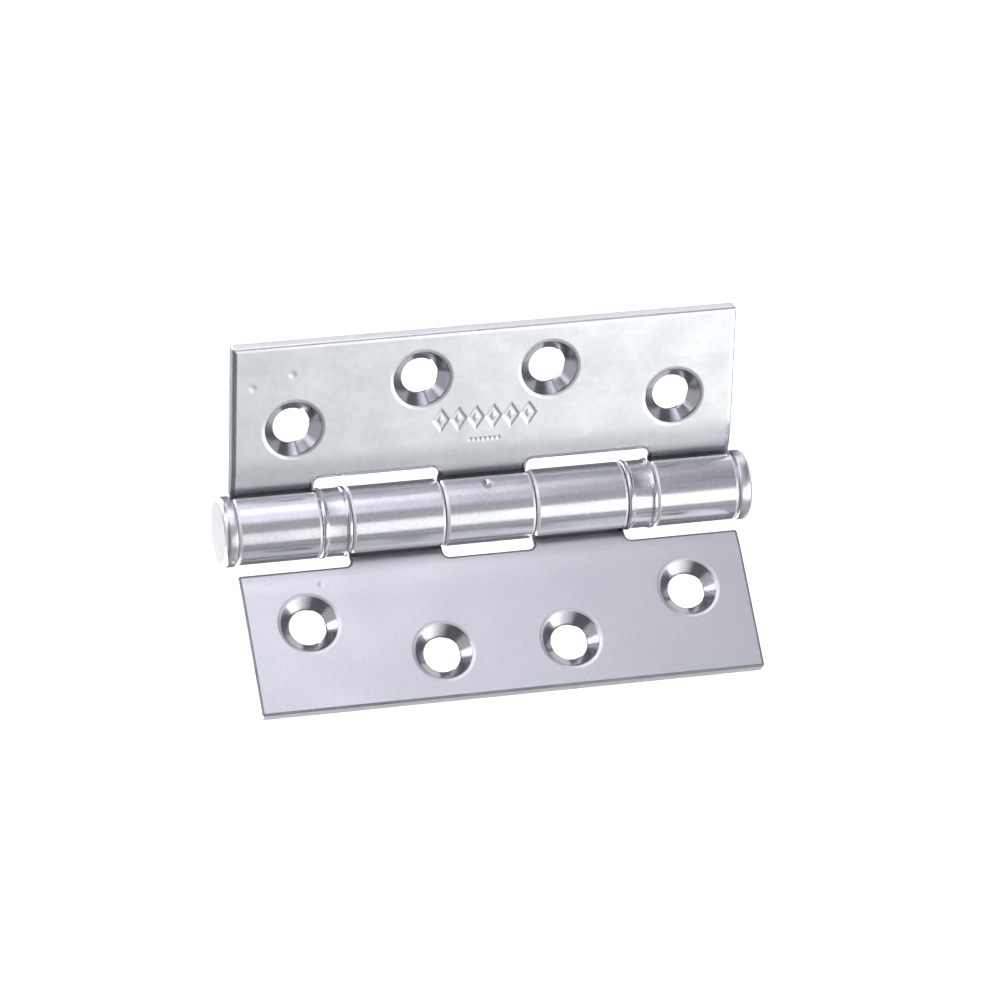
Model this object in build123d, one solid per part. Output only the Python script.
"""Two-ball-bearing butt hinge, 102 x 76 x 3 mm, in stainless steel. All sizes in millimetres.

Frame: the origin is on the pin's axis at mid height, and +Z runs up the pin as the hinge hangs on
a door. The frame leaf lies along +X with its countersunk face towards -Y. The door leaf is stored
partly open, and turns about Z.
"""
from build123d import *
import math
import os

# Driving dimensions -----------------------------------------------------------------------------
LEAF_LENGTH = 101.6            # 4 in, along the pin
LEAF_WIDTH = 38.1              # pin axis to free edge, so 3 in across the open hinge
THICKNESS = 3.0
FACE_OFFSET = 0.75             # pin axis to countersunk face: 1.5 mm between the closed leaves
OPEN_AT_REST = 134.0           # degrees between the countersunk faces as stored
CORNER_RADIUS = 1.0

BARREL_RADIUS = 6.75
PIN_RADIUS = 3.65
PIN_CLEARANCE = 0.05           # radial running clearance of the pin in its bores
ROLL_STRAIGHT = 28.0           # degrees of roll at its free end that stay straight
ROLL_SLIT = 0.12               # gap between the roll's end and the leaf's face
JOGGLE_RADIUS = 2.5            # inside bend where the swaged leaf meets the barrel's back

BEARING_OUTER = 34.0           # height of the bearing's far face above or below mid height
BEARING_HEIGHT = 6.0
MIDDLE_KNUCKLE = 18.1          # length of the middle knuckle
KNUCKLE_GAP = 0.2              # between the middle knuckle and its neighbours
NOTCH_EDGE = 8.97              # pin axis to the edge of a notch in a leaf
NOTCH_RADIUS = 1.2

# Screw holes: height above or below mid height, and distance from the pin axis
HOLE_PLACES = {"outer": (38.5, 20.2), "inner": (12.9, 28.45)}
HOLE_RADIUS = 3.65
COUNTERSINK_RADIUS = 5.75
COUNTERSINK_ANGLE = 90

CAP_RADIUS = 6.95
CAP_HEIGHT = 2.8
CAP_ROUND = 0.9
CAP_NECK_RADIUS = 6.45         # fine groove between the knuckle and the cap's bead
CAP_NECK_HEIGHT = 0.35
SPIGOT_LENGTH = 4.5
SPIGOT_CLEARANCE = 0.02
PIN_END_CHAMFER = 0.5

SHELL_RADIUS = 6.95            # stands a little proud of the knuckles
SHELL_WALL = 0.7
SHELL_END_THICKNESS = 0.5
SHELL_ROUND = 0.4
SHELL_LIP_GAP = 0.1            # end of the skirt to the turning knuckle
RACE_CLEARANCE = 0.1           # turning race inside the skirt
BALL_RADIUS = 1.0
BALL_CLEARANCE = 0.04          # ball to groove and to cage pocket
BALL_COUNT = 10
RACE_SPACING = 1.6             # between the two races' faces
CAGE_THICKNESS = 0.8

STAKE_DEPTH = 0.35             # punch mark that fixes the pin in the middle knuckle
STAKE_WIDTH = 2.4
STAKE_ANGLE = -21.0            # degrees round the barrel from +X

# Worked out from them ---------------------------------------------------------------------------
BORE_RADIUS = PIN_RADIUS + PIN_CLEARANCE
HALF_LENGTH = LEAF_LENGTH / 2
BACK_OFFSET = FACE_OFFSET + THICKNESS
BEARING_INNER = BEARING_OUTER - BEARING_HEIGHT
HALF_MIDDLE = MIDDLE_KNUCKLE / 2
PIN_END = HALF_LENGTH - SPIGOT_LENGTH

FRAME_KNUCKLES = [
    (BEARING_OUTER, HALF_LENGTH),
    (-HALF_MIDDLE, HALF_MIDDLE),
    (-HALF_LENGTH, -BEARING_OUTER),
]
DOOR_KNUCKLES = [
    (HALF_MIDDLE + KNUCKLE_GAP, BEARING_INNER),
    (-BEARING_INNER, -HALF_MIDDLE - KNUCKLE_GAP),
]


def save(shape, name, colour):
    """Write one named sub-part to parts/NAME.step."""
    shape.label = name
    shape.color = Color(*colour)
    export_step(shape, f"parts/{name}.step")


def ring(outer, inner, low, high):
    """A plain ring about Z."""
    height = high - low
    tube = Cylinder(outer, height) - Cylinder(inner, height)
    return Pos(0, 0, (low + high) / 2) * tube


def knuckle_section():
    """Outline across the pin of a rolled knuckle and the start of its leaf, with the bore open."""
    straight = math.radians(ROLL_STRAIGHT)
    tangent = (BARREL_RADIUS * math.cos(straight), -BARREL_RADIUS * math.sin(straight))
    roll_end = tangent[0] + (FACE_OFFSET - tangent[1]) * math.tan(straight)
    joggle_y = BACK_OFFSET + JOGGLE_RADIUS
    joggle_x = math.sqrt((BARREL_RADIUS + JOGGLE_RADIUS) ** 2 - joggle_y ** 2)
    on_barrel = BARREL_RADIUS / (BARREL_RADIUS + JOGGLE_RADIUS)

    barrel = Circle(BARREL_RADIUS)
    end_of_roll = make_face(Polyline(
        (0, 0), tangent, (roll_end, FACE_OFFSET), (0, FACE_OFFSET), close=True))
    leaf_start = Pos(NOTCH_EDGE / 2, FACE_OFFSET + THICKNESS / 2) * Rectangle(NOTCH_EDGE, THICKNESS)
    joggle = make_face(Polyline(
        (joggle_x * on_barrel, joggle_y * on_barrel), (joggle_x, BACK_OFFSET),
        (0, BACK_OFFSET), close=True))
    joggle -= Pos(joggle_x, joggle_y) * Circle(JOGGLE_RADIUS)
    slit = Pos(NOTCH_EDGE / 2, FACE_OFFSET - ROLL_SLIT / 2) * Rectangle(NOTCH_EDGE, ROLL_SLIT)
    return barrel + end_of_roll + leaf_start + joggle - Circle(BORE_RADIUS) - slit


def leaf(knuckles):
    """One leaf with its rolled knuckles, lying along +X with the countersinks towards -Y."""
    plate_width = LEAF_WIDTH - NOTCH_EDGE
    plate = Pos(NOTCH_EDGE + plate_width / 2, FACE_OFFSET + THICKNESS / 2, 0) * Box(
        plate_width, THICKNESS, LEAF_LENGTH)
    free_corners = plate.edges().filter_by(Axis.Y).group_by(Axis.X)[-1]
    body = fillet(free_corners, CORNER_RADIUS)

    section = knuckle_section()
    for low, high in knuckles:
        body += Pos(0, 0, low) * extrude(section, high - low)

    notch_corners = [
        edge for edge in body.edges().filter_by(Axis.Y)
        if abs(edge.center().X - NOTCH_EDGE) < 0.01 and abs(edge.center().Z) < HALF_LENGTH - 0.1
    ]
    body = fillet(notch_corners, NOTCH_RADIUS)

    for height, distance in HOLE_PLACES.values():
        for side in (1, -1):
            entry = Pos(distance, FACE_OFFSET, side * height) * Rot(90, 0, 0)
            body -= entry * CounterSinkHole(
                HOLE_RADIUS, COUNTERSINK_RADIUS, THICKNESS * 3, COUNTERSINK_ANGLE)
    return body


def punch_mark():
    """The round punch that stakes the middle knuckle on to the pin."""
    half = STAKE_WIDTH / 2
    radius = (half ** 2 + STAKE_DEPTH ** 2) / (2 * STAKE_DEPTH)
    return Rot(0, 0, STAKE_ANGLE) * Pos(BARREL_RADIUS - STAKE_DEPTH + radius, 0, 0) * Sphere(radius)


def end_cap():
    """Button cap for the +Z end: spigot in the bore, fine neck, and a bead with a rounded rim."""
    low = HALF_LENGTH
    high = HALF_LENGTH + CAP_HEIGHT
    neck_top = low + CAP_NECK_HEIGHT
    spigot_radius = BORE_RADIUS - SPIGOT_CLEARANCE
    head = Pos(0, 0, (neck_top + high) / 2) * Cylinder(CAP_RADIUS, high - neck_top)
    rim = head.edges().filter_by(GeomType.CIRCLE).sort_by(Axis.Z)
    head = fillet(rim[-1], CAP_ROUND)
    lower_rim = head.edges().filter_by(GeomType.CIRCLE).sort_by(Axis.Z)[0]
    head = fillet(lower_rim, CAP_NECK_HEIGHT)
    neck = Pos(0, 0, (low + neck_top) / 2) * Cylinder(CAP_NECK_RADIUS, CAP_NECK_HEIGHT)
    spigot = Pos(0, 0, low - SPIGOT_LENGTH / 2) * Cylinder(spigot_radius, SPIGOT_LENGTH)
    return head + neck + spigot


def bearing():
    """Pieces of the upper thrust bearing, by name, in their places on the pin."""
    skirt_inner = SHELL_RADIUS - SHELL_WALL
    fixed_top = BEARING_OUTER - SHELL_END_THICKNESS
    ball_height = (fixed_top + BEARING_INNER) / 2
    fixed_low = ball_height + RACE_SPACING / 2
    turning_high = ball_height - RACE_SPACING / 2
    pitch = (BORE_RADIUS + skirt_inner) / 2

    shell = ring(SHELL_RADIUS, BORE_RADIUS, BEARING_INNER + SHELL_LIP_GAP, BEARING_OUTER)
    outer_rims = [
        edge for edge in shell.edges().filter_by(GeomType.CIRCLE)
        if abs(edge.radius - SHELL_RADIUS) < 0.01
    ]
    shell = fillet(outer_rims, SHELL_ROUND)
    shell -= ring(skirt_inner, PIN_CLEARANCE, BEARING_INNER, fixed_top)

    groove = Pos(0, 0, ball_height) * Torus(pitch, BALL_RADIUS + BALL_CLEARANCE)
    fixed_race = ring(skirt_inner - PIN_CLEARANCE, BORE_RADIUS, fixed_low, fixed_top) - groove
    turning_race = ring(skirt_inner - RACE_CLEARANCE, BORE_RADIUS, BEARING_INNER, turning_high) - groove

    half_cage = CAGE_THICKNESS / 2
    cage = ring(skirt_inner - RACE_CLEARANCE, BORE_RADIUS + RACE_CLEARANCE,
                ball_height - half_cage, ball_height + half_cage)
    pieces = {"shell": shell, "fixed_race": fixed_race, "turning_race": turning_race}
    for index in range(BALL_COUNT):
        turn = Rot(0, 0, 360 * index / BALL_COUNT)
        place = turn * Pos(pitch, 0, ball_height)
        cage -= place * Cylinder(BALL_RADIUS + BALL_CLEARANCE, CAGE_THICKNESS * 2)
        pieces[f"ball_{index + 1:02d}"] = place * Sphere(BALL_RADIUS)
    pieces["ball_cage"] = cage
    return pieces


def main():
    os.makedirs("parts", exist_ok=True)
    steel = (0.78, 0.78, 0.80)
    dark_steel = (0.62, 0.63, 0.66)
    brass = (0.80, 0.66, 0.34)

    frame_leaf = leaf(FRAME_KNUCKLES) - punch_mark()
    save(frame_leaf, "leaf_three_knuckle", steel)

    door_leaf = mirror(leaf(DOOR_KNUCKLES), about=Plane.XZ)
    save(Rot(0, 0, -OPEN_AT_REST) * door_leaf, "leaf_two_knuckle", steel)

    pin = Cylinder(PIN_RADIUS, 2 * PIN_END)
    pin = chamfer(pin.edges().filter_by(GeomType.CIRCLE), PIN_END_CHAMFER)
    save(pin, "hinge_pin", dark_steel)

    upper_pieces = bearing()
    for side, name in ((1, "top"), (-1, "bottom")):
        turn_over = Rot(0, 0, 0) if side > 0 else Rot(180, 0, 0)
        save(turn_over * end_cap(), f"{name}_end_cap", steel)
        for piece_name, piece in upper_pieces.items():
            colour = brass if piece_name == "ball_cage" else dark_steel
            save(turn_over * piece, f"{name}_bearing_{piece_name}", colour)


main()
